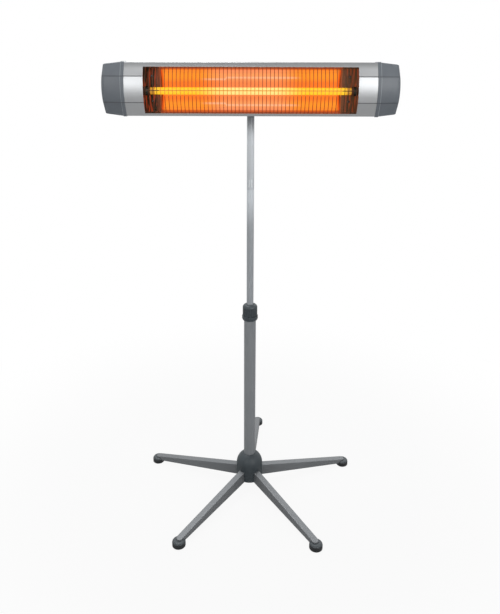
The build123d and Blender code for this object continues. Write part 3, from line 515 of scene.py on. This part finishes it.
def make_stained(name, dark, light, rough):
    """Heat-stained steel, without a glow until one is set."""
    finish = Finish(name, metallic=0.7, emission_strength=1.0, emission_color=(0, 0, 0, 1))
    stain = finish.noise(stain_size, detail=4.0)
    fine = finish.noise(fine_stain_size, detail=2.0)
    finish.set(base_color=finish.mix(stain, dark, light))
    finish.set(roughness=rough + 0.2 * fine)
    finish.bump(fine, stain_depth)
    finishes[name] = finish.material
    return finish, stain


print("stained steel is ready")

# %% End bays
upright = (1, 1, 0.12)         # squeezes a pattern so that it streaks upwards
bay_streak_size = 0.006
brown_start, brown_full = 0.020, 0.014    # from the trough's end
bay_dark, bay_reflection_red = (0.006, 0.004, 0.001), (0.26, 0.028, 0.005)
bay_lit_brown, right_bay_lit_brown = (0.14, 0.035, 0.014), (0.13, 0.055, 0.022)


def outside_bay(finish):
    """1 on the far side of the tray's back and of its two long walls."""
    depth = finish.along("Y")
    past_back = depth.above(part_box("end_bay_right")[1].y - half_sheet)
    past_wall = abs(finish.along("Z") - window_middle).above(trough_half_height - half_sheet)
    past_wall = past_wall * depth.above(trough_low.y + half_sheet)
    return (past_back + past_wall).above(0.5)


def make_bay_steel():
    finish, _ = make_stained("bay_steel", (0.008, 0.007, 0.004), (0.045, 0.034, 0.022), 0.3)
    # Painted reflection: the lamp's light on the bays as an emission colour.
    red = finish.ramp(finish.noise(bay_streak_size, upright), 0.46, 0.60)
    glow = finish.mix(red, bay_dark, bay_reflection_red)
    away = abs(finish.along("X"))
    lit_by_trough = finish.ramp(away, trough_end + brown_start, trough_end + brown_full)
    glow = finish.mix(0.7 * lit_by_trough, glow, bay_lit_brown)
    on_the_right = finish.along("X").above(0.0)
    glow = finish.mix(0.4 * on_the_right, glow, right_bay_lit_brown)
    finish.set(emission_color=finish.mix(outside_bay(finish), glow, no_glow))


make_bay_steel()
print("finishes so far", len(finishes))

# %% [markdown]
# ## Wires, clips and ceramic
#
# The grille's wires catch the trough's light where they cross it, more so in front of the
# lamp, and stay dull in front of the bays: that light is painted as a glow. Clips, screws
# and ceramic ends are stained by the same heat, in their own greys, and the ceramic ends get
# a faint painted glow too. The filament is the hottest of all.

# %% Wires, clips and ceramic
wire_glow_red, wire_glow_bright_red = (0.14, 0.014, 0.003), (0.26, 0.034, 0.007)
wire_lit_by_lamp, wire_dull = (0.66, 0.24, 0.02), (0.012, 0.004, 0.001)
trough_edge = 0.003
warm_half, hot_half = 0.016, 0.009        # up or down from the lamp


def make_wire_steel():
    finish, stain = make_stained("grille_wire", (0.03, 0.014, 0.008), (0.10, 0.048, 0.030), 0.35)
    away = abs(finish.along("X"))
    over_trough = finish.ramp(away, trough_end + trough_edge, trough_end - trough_edge)
    lamp_light_share = finish.ramp(abs(finish.along("Z") - lamp_height), warm_half, hot_half)
    # Painted light: the trough's and lamp's light on the wires as an emission colour.
    glow = finish.mix(stain, wire_glow_red, wire_glow_bright_red)
    glow = finish.mix(lamp_light_share, glow, wire_lit_by_lamp)
    finish.set(emission_color=finish.mix(over_trough, wire_dull, glow))


make_wire_steel()
make_stained("stained_clip", (0.03, 0.03, 0.022), (0.10, 0.10, 0.075), 0.35)
make_stained("stained_screw", (0.07, 0.08, 0.085), (0.16, 0.18, 0.19), 0.25)
hot_ceramic, stain = make_stained("hot_ceramic", (0.06, 0.03, 0.02), (0.14, 0.08, 0.05), 0.5)
# Painted light: a faint emission where the lamp's light falls on the ceramic ends.
hot_ceramic.set(emission_color=hot_ceramic.mix(stain, no_glow, (0.05, 0.01, 0.003)))
coil, stain = make_stained("filament", (0.30, 0.12, 0.03), (0.40, 0.20, 0.05), 0.4)
coil.set(emission_color=coil.mix(stain, (1.0, 0.62, 0.10), (1.0, 0.78, 0.28)))
print("finishes so far", len(finishes))

# %% [markdown]
# ## Dress the CAD nodes
#
# The record names a material slot for each node, so one loop hands out the finishes. Some
# nodes share a slot but get another shade, and those are listed first: the lighter silvers of
# the upper tube and arm and the spigot's bright steel are painted light.

# %% Hand out the finishes
special = {
    "lower_tube": "tube_silver", "upper_tube": "mast_silver", "mast_arm": "arm_silver",
    "joining_spigot": "spigot_highlight_steel", "hub_cover": "dark_slate", "twist_collar": "dark_slate",
    "tilt_knob": "dark_slate",
}
for side in ("left", "right"):
    special["lamp_end_" + side] = "hot_ceramic"
    special["lamp_clip_" + side] = "stained_clip"
    special["end_cap_" + side] = "cap_slate"
special.update({name: "foot_slate" for name in nodes if name.startswith("foot_")})
for part in frame["record"]["subparts"]:
    node = nodes[part["node"]]
    finish_name = special.get(part["node"], part["material_slot"])
    node.data.materials.clear()
    node.data.materials.append(finishes[finish_name])

# %% [markdown]
# ## Working in edit mode
#
# The small pieces are modelled as by hand, with the operators of Blender's edit mode. By
# hand one clicks on a face; a script picks it by where it lies or which way it looks. Two
# helpers pick faces and edges.

# %% Pick faces and edges
near = 1e-6                    # points closer than this, in metres, are one point
facing = 0.9                   # a face looks along an axis if its normal reaches this


def pick_faces(piece, test):
    """Select the faces for which the test of centre and normal is true."""
    bpy.ops.mesh.select_mode(type="FACE")
    bpy.ops.mesh.select_all(action="DESELECT")
    shape = bmesh.from_edit_mesh(piece.data)
    for face in shape.faces:
        face.select_set(test(face.calc_center_median(), face.normal))
    bmesh.update_edit_mesh(piece.data)


def pick_edges(piece, test):
    """Select the edges whose two points both pass the test."""
    bpy.ops.mesh.select_mode(type="EDGE")
    bpy.ops.mesh.select_all(action="DESELECT")
    shape = bmesh.from_edit_mesh(piece.data)
    for edge in shape.edges:
        edge.select_set(all(test(point.co) for point in edge.verts))
    bmesh.update_edit_mesh(piece.data)


print("points within", near, "m count as one")

# %% [markdown]
# ## Open and close a piece
#
# A primitive is added at its place, which is then moved into its mesh, because a finished
# piece sits at the origin as the CAD nodes do. At the end its doubles are merged, its
# normals are turned outwards and its shallow angles are shaded as one surface.

# %% Open and close a piece
smooth_below = 35              # degrees between two faces that are shaded as one


def start_piece(name):
    """Take the primitive that was just added into edit mode."""
    piece = bpy.context.object
    piece.name = name
    bpy.ops.object.transform_apply(location=True, rotation=True, scale=True)
    bpy.ops.object.mode_set(mode="EDIT")
    return piece


def finish_piece(piece, angle):
    """Leave edit mode with clean normals and soft shading."""
    bpy.ops.object.mode_set(mode="EDIT")
    bpy.ops.mesh.select_all(action="SELECT")
    bpy.ops.mesh.remove_doubles(threshold=near)
    bpy.ops.mesh.normals_make_consistent(inside=False)
    bpy.ops.object.mode_set(mode="OBJECT")
    bpy.ops.object.shade_smooth_by_angle(angle=math.radians(angle))


print("edges are smooth below", smooth_below, "degrees")

# %% [markdown]
# ## Where CAD has put like pieces
#
# CAD keeps all screws of one sort in one node. To put a modelled screw in the place of
# each, the node is taken apart: points that share a face belong to the same screw.

# %% Take a node apart
def islands(node):
    """The separate solids of a CAD node, each as a list of points."""
    keys = [tuple(round(value, 6) for value in point.co) for point in node.data.vertices]
    owner = {key: key for key in keys}

    def top(key):
        while owner[key] != key:
            key = owner[key]
        return key

    for face in node.data.polygons:
        first = top(keys[face.vertices[0]])
        for index in face.vertices[1:]:
            owner[top(keys[index])] = first
    groups = {}
    for key in owner:
        groups.setdefault(top(key), []).append(Vector(key))
    return list(groups.values())


print("bay screws found:", len(islands(nodes["bay_screws"])))

# %% [markdown]
# ## Pan-head screws
#
# The end bays, the tilt bracket and the caps are held by pan-head screws. CAD keeps them as
# plain discs on a shank. A real head is a low dome with a soft rim and a cross recess. One
# is modelled from a cylinder: the top is inset twice and raised, the rim is bevelled, the
# underside is inset and pulled out to the shank, and a tapered cross is cut out of it.
# Faces pushed in from the dome would leave a ragged recess; a boolean cut keeps it sharp.

# %% Cutter for the cross recess
recess_length, recess_width = 1.15, 0.26  # shares of the head's radius
recess_middle, recess_height = 0.9, 1.1   # shares of the head's height
recess_taper = (0.6, 0.7, 1.0)


def model_recess_cutter(radius, height):
    """Two crossed, tapering bars."""
    bpy.ops.object.select_all(action="DESELECT")
    bpy.ops.mesh.primitive_cube_add(size=1.0, location=(0, 0, recess_middle * height))
    cutter = bpy.context.object
    cutter.scale = (recess_length * radius, recess_width * radius, recess_height * height)
    start_piece("recess_cutter")
    pick_faces(cutter, lambda place, normal: normal.z < -facing)
    bpy.ops.transform.resize(value=recess_taper)
    bpy.ops.mesh.select_all(action="SELECT")
    bpy.ops.mesh.duplicate()
    bpy.ops.transform.rotate(value=math.pi / 2, orient_axis="Z", center_override=(0, 0, 0))
    bpy.ops.object.mode_set(mode="OBJECT")
    return cutter


print("a recess is", recess_length, "of the head's radius long")

# %% One screw
rim_share, rim_round = 0.7, 0.14          # of the head's height, and of its radius
dome_inset, dome_rises = 0.3, (0.2, 0.1)  # of the head's radius, and of its height
on_rim = 0.97                  # points past this share of the radius are on the rim
shank_reach, tip_inset, tip_depth = 0.9, 0.3, 0.1


def cut_out(piece, cutter, **settings):
    """Cut a piece with a cutter, which is then thrown away."""
    bpy.context.view_layer.objects.active = piece
    cut = piece.modifiers.new("cut", "BOOLEAN")
    cut.operation = "DIFFERENCE"
    cut.solver = "EXACT"
    cut.object = cutter
    for key, value in settings.items():
        setattr(cut, key, value)
    bpy.ops.object.modifier_apply(modifier=cut.name)
    bpy.data.objects.remove(cutter)


def model_screw(radius, height, shank_radius, shank_length):
    """A screw that stands on its seat at the origin, with its shank below."""
    cutter = model_recess_cutter(radius, height)
    bpy.ops.object.select_all(action="DESELECT")
    rim = rim_share * height
    bpy.ops.mesh.primitive_cylinder_add(vertices=32, radius=radius, depth=rim,
                                        location=(0, 0, rim / 2))
    screw = start_piece("screw")
    pick_faces(screw, lambda place, normal: normal.z > facing)
    for rise in dome_rises:
        bpy.ops.mesh.inset(thickness=dome_inset * radius, depth=rise * height)
    past = on_rim * radius
    pick_edges(screw, lambda point: abs(point.z - rim) < near and point.xy.length > past)
    bpy.ops.mesh.bevel(offset=rim_round * radius, segments=3, affect="EDGES")
    pick_faces(screw, lambda place, normal: normal.z < -facing)
    bpy.ops.mesh.inset(thickness=radius - shank_radius)
    down = (0, 0, -shank_reach * shank_length)
    bpy.ops.mesh.extrude_region_move(TRANSFORM_OT_translate={"value": down})
    bpy.ops.mesh.inset(thickness=tip_inset * shank_radius, depth=tip_depth * shank_length)
    bpy.ops.object.mode_set(mode="OBJECT")
    cut_out(screw, cutter, use_self=True)
    finish_piece(screw, smooth_below)
    return screw


print("helpers for screws are ready")

# %% [markdown]
# ## Screws in their seats
#
# The seat, the direction and the sizes of each CAD screw are read from its points, so the
# modelled screws stay where CAD has them. One is modelled for each node, and each screw
# is a copy of it with its own mesh, turned and set in its seat. They are joined at last,
# because one node holds them all.

# %% Where each screw sits
in_head = 0.95                 # points past this share of the radius are on the head


def screw_place(points, axis):
    """Seat, outward direction and sizes of one CAD screw."""
    sides = [k for k in range(3) if k != axis]
    middle = [(min(p[k] for p in points) + max(p[k] for p in points)) / 2 for k in range(3)]
    reach = {id(p): math.hypot(*(p[k] - middle[k] for k in sides)) for p in points}
    radius = max(reach.values())
    head = [p[axis] for p in points if reach[id(p)] > in_head * radius]
    ends = [min(p[axis] for p in points), max(p[axis] for p in points)]
    tip, top = ends if max(head) == ends[1] else ends[::-1]
    seat = min(head) if top > tip else max(head)
    shank_radius = max(reach[id(p)] for p in points if abs(p[axis] - tip) < near)
    middle[axis] = seat
    outward = Vector((0, 0, 0))
    outward[axis] = 1.0 if top > tip else -1.0
    return Vector(middle), outward, (radius, abs(top - seat), shank_radius, abs(seat - tip))


print("a cap screw sits at", screw_place(islands(nodes["cap_screws"])[0], 0)[0])

# %% Screws where CAD has them
def fit_screws(node_name, axis, finish_name):
    """Model the node's screw once and set a copy in each of its seats."""
    places = [screw_place(points, axis) for points in islands(nodes[node_name])]
    screw = model_screw(*places[0][2])
    copies = []
    for seat, outward, sizes in places:
        copy = screw.copy()
        copy.data = screw.data.copy()
        turn = outward.to_track_quat("Z", "Y").to_matrix().to_4x4()
        copy.data.transform(Matrix.Translation(seat) @ turn)
        bpy.context.scene.collection.objects.link(copy)
        copies.append(copy)
    bpy.data.objects.remove(screw)
    bpy.ops.object.select_all(action="DESELECT")
    for copy in copies:
        copy.select_set(True)
    bpy.context.view_layer.objects.active = copies[0]
    bpy.ops.object.join()
    piece = bpy.context.object
    piece.name = node_name + "_pan_head"
    piece.data.materials.clear()
    piece.data.materials.append(finishes[finish_name])
    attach(piece, "head")
    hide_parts(node_name)
    print(piece.name, len(places), "screws,", len(piece.data.polygons), "faces")


fit_screws("bay_screws", 1, "stained_screw")
fit_screws("bracket_screws", 1, "zinc_steel")
fit_screws("cap_screws", 0, "zinc_steel")

# %% [markdown]
# ## Tilt knob
#
# The knob is a moulded hand wheel with six lobes. CAD cuts it out with six round notches,
# which leaves sharp edges. A moulded one flows from lobe to lobe. A curve could be drawn
# and extruded, but here a cylinder with many sides is waved: its points are taken by their
# angle from the nearest lobe and drawn in, more so the further they are from it. Then the
# rims are bevelled, and round cutters sink the face and bore the hole for the bolt.

# %% Lobes and round cutters
lobe_count = 6
cutter_sides = 64


def off_lobe(point, middle):
    """Degrees from the nearest lobe's top, which is at most half a lobe away."""
    turn = math.degrees(math.atan2(point.y - middle.y, point.z - middle.z))
    lobe = 360.0 / lobe_count
    return abs((turn + lobe / 2) % lobe - lobe / 2)


def cut_round(piece, place, radius, depth):
    """Cut a round hole along X out of a piece, centred at the place."""
    bpy.ops.object.select_all(action="DESELECT")
    bpy.ops.mesh.primitive_cylinder_add(vertices=cutter_sides, radius=radius, depth=depth,
                                        location=place, rotation=(0, math.pi / 2, 0))
    cut_out(piece, bpy.context.object)


print("a lobe takes up", 360 / lobe_count, "degrees")

# %% Knob
lobe_depth = 0.13              # share of the radius
knob_sides = 96
knob_rim = 0.0016
face_share, face_sunk = 0.62, 0.001       # share of the radius, and metres
knob_bore_radius = 0.0043
bolt_gap = 0.0004


def model_knob():
    low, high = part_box("tilt_knob")
    middle = (low + high) / 2
    radius = (high.z - low.z) / 2
    bpy.ops.object.select_all(action="DESELECT")
    bpy.ops.mesh.primitive_cylinder_add(vertices=knob_sides, radius=radius, depth=high.x - low.x,
                                        location=middle, rotation=(0, math.pi / 2, 0))
    knob = start_piece("tilt_knob_lobed")
    step = 360.0 / knob_sides
    for count in range(1, knob_sides // lobe_count // 2 + 1):
        turn = count * step
        drawn = 1.0 - lobe_depth * (1.0 - math.cos(math.radians(lobe_count * turn))) / 2
        pick_edges(knob, lambda point: abs(off_lobe(point, middle) - turn) < step / 4)
        bpy.ops.transform.resize(value=(1.0, drawn, drawn), center_override=middle)
    for end in (low.x, high.x):
        pick_edges(knob, lambda point: abs(point.x - end) < near)
        bpy.ops.mesh.bevel(offset=knob_rim, segments=3, affect="EDGES")
    bpy.ops.object.mode_set(mode="OBJECT")
    cut_round(knob, (high.x, middle.y, middle.z), face_share * radius, 2 * face_sunk)
    bore_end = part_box("pivot_bolt")[1].x + bolt_gap
    cut_round(knob, (low.x, middle.y, middle.z), knob_bore_radius, 2 * (bore_end - low.x))
    finish_piece(knob, smooth_below)
    knob.data.materials.clear()
    knob.data.materials.append(finishes["dark_slate"])
    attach(knob, "knob")
    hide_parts("tilt_knob")
    print("knob", len(knob.data.polygons), "faces, x", round(low.x, 4), "to", round(high.x, 4),
          "bore to", round(bore_end, 4))


model_knob()

# %% [markdown]
# ## Floor
#
# A plain pale floor under the object. Paper alone would render grey, so for rays from the
# camera it is mixed with a plain white, the more so the further it is from the object. The
# rest of the paper is left in the mix, and it keeps the shadow.

# %% Rays that see the room
def seen_rays(finish):
    """1 for rays from the camera or off gloss and glass, 0 for rays that carry light."""
    path = finish.tree.nodes.new("ShaderNodeLightPath")
    rays = [Value(finish, path.outputs[name]) for name in
            ("Is Camera Ray", "Is Glossy Ray", "Is Transmission Ray")]
    total = rays[0] + rays[1] + rays[2]
    return total.above(0.5)


print("rays that see white: from the camera, off gloss and through glass")

# %% Floor
floor_radius = 9.0
near_floor, far_floor = 0.5, 1.6          # metres from the object
white_straight, white_far, white_all = 0.80, 0.08, 0.12

bpy.ops.mesh.primitive_circle_add(vertices=96, radius=floor_radius, fill_type="NGON",
                                  location=(0, 0, 0))
floor = bpy.context.object
floor.name = "studio_floor"
paper = Finish("studio_paper", base_color=(0.45, 0.45, 0.45, 1.0), roughness=0.9)
far = paper.node("ShaderNodeVectorMath", {"operation": "LENGTH"}, {0: paper.place()}, "Value")
white = paper.node("ShaderNodeEmission", None, {"Color": (1, 1, 1, 1), "Strength": 1.0})
seen_straight = paper.node("ShaderNodeLightPath", output="Is Camera Ray")
fade = paper.ramp(far, near_floor, far_floor)
share = seen_rays(paper) * (white_all + white_straight * seen_straight + white_far * fade)
blend = paper.node("ShaderNodeMixShader", None,
                   {0: share, 1: Value(paper, paper.shader.outputs[0]), 2: white})
paper.tree.links.new(blend.socket, paper.tree.nodes["Material Output"].inputs["Surface"])
floor.data.materials.append(paper.material)
print("floor is", round(floor.dimensions.x, 2), "m wide")

# %% [markdown]
# ## Room
#
# White behind the object comes from what the camera sees, not from more light: rays from
# the camera and from shiny surfaces see a white room, and rays that light the object see a
# dimmer one. As in a real studio, the ceiling and the side where the camera stands are
# darker, which draws light edges along the tubes.

# %% Room
room = bpy.data.worlds.new("studio_room")
bpy.context.scene.world = room
room.use_nodes = True
room_light = 0.62              # of the white that the camera sees
side_dim, ceiling_dim = 0.40, 0.40
sky = room.node_tree.nodes["Background"]


class Room(Finish):
    """The world's nodes, put together the same way."""

    def __init__(self, world):
        self.tree = world.node_tree


walls = Room(room)
direction = {"Vector": walls.node("ShaderNodeTexCoord", output="Generated")}
towards_back = walls.node("ShaderNodeSeparateXYZ", None, direction, output="Y")
upward = walls.node("ShaderNodeSeparateXYZ", None, direction, output="Z")
camera_ray = walls.node("ShaderNodeLightPath", output="Is Camera Ray")
dim_side = walls.ramp(towards_back, 0.2, -0.9)
dim_ceiling = walls.ramp(upward, 0.1, 0.9)
dim = dim_side * (side_dim + ceiling_dim * dim_ceiling) * (1.0 - camera_ray)
room_glow = room_light + (1.0 - room_light) * seen_rays(walls)
walls.link(sky.inputs["Color"], (1.0, 1.0, 1.0, 1.0))
walls.link(sky.inputs["Strength"], room_glow * (1.0 - dim))
print("room is set, its light", room_light)

# %% [markdown]
# ## Lamps
#
# Soft boxes: two large ones in front with a grid that keeps their light on the head, one
# overhead for the star base, and one behind that draws a light edge along the tubes. Each
# is a round area lamp. Its spread is the grid: a narrow one gathers the same power on a
# smaller patch, so those two need less of it.

# %% Soft boxes
def soft_box(name, place, aim, size, power, spread=180.0):
    data = bpy.data.lights.new(name, "AREA")
    data.shape = "DISK"
    data.size = size
    data.energy = power
    data.spread = math.radians(spread)
    lamp = bpy.data.objects.new(name, data)
    bpy.context.scene.collection.objects.link(lamp)
    lamp.location = place
    lamp.rotation_euler = (Vector(aim) - Vector(place)).to_track_quat("-Z", "Y").to_euler()


over_head, mid_mast, floor_centre = (0, 0, 1.7), (0, 0, 0.8), (0, 0, 0.0)
grid_spread = 80.0
soft_box("key_box", (-1.5, -2.9, 2.5), over_head, 2.4, 8.8, grid_spread)
soft_box("fill_box", (1.8, -2.7, 2.4), over_head, 2.4, 14.3, grid_spread)
soft_box("top_box", (-0.6, 0.6, 3.4), floor_centre, 1.4, 44.0)
soft_box("back_box", (1.4, 2.2, 2.6), mid_mast, 1.2, 10.0)

# %% [markdown]
# ## Picture settings
#
# The view transform is Standard, so a colour renders about as it is written.

# %% View and finish
scene = bpy.context.scene
scene.view_settings.view_transform = "Standard"
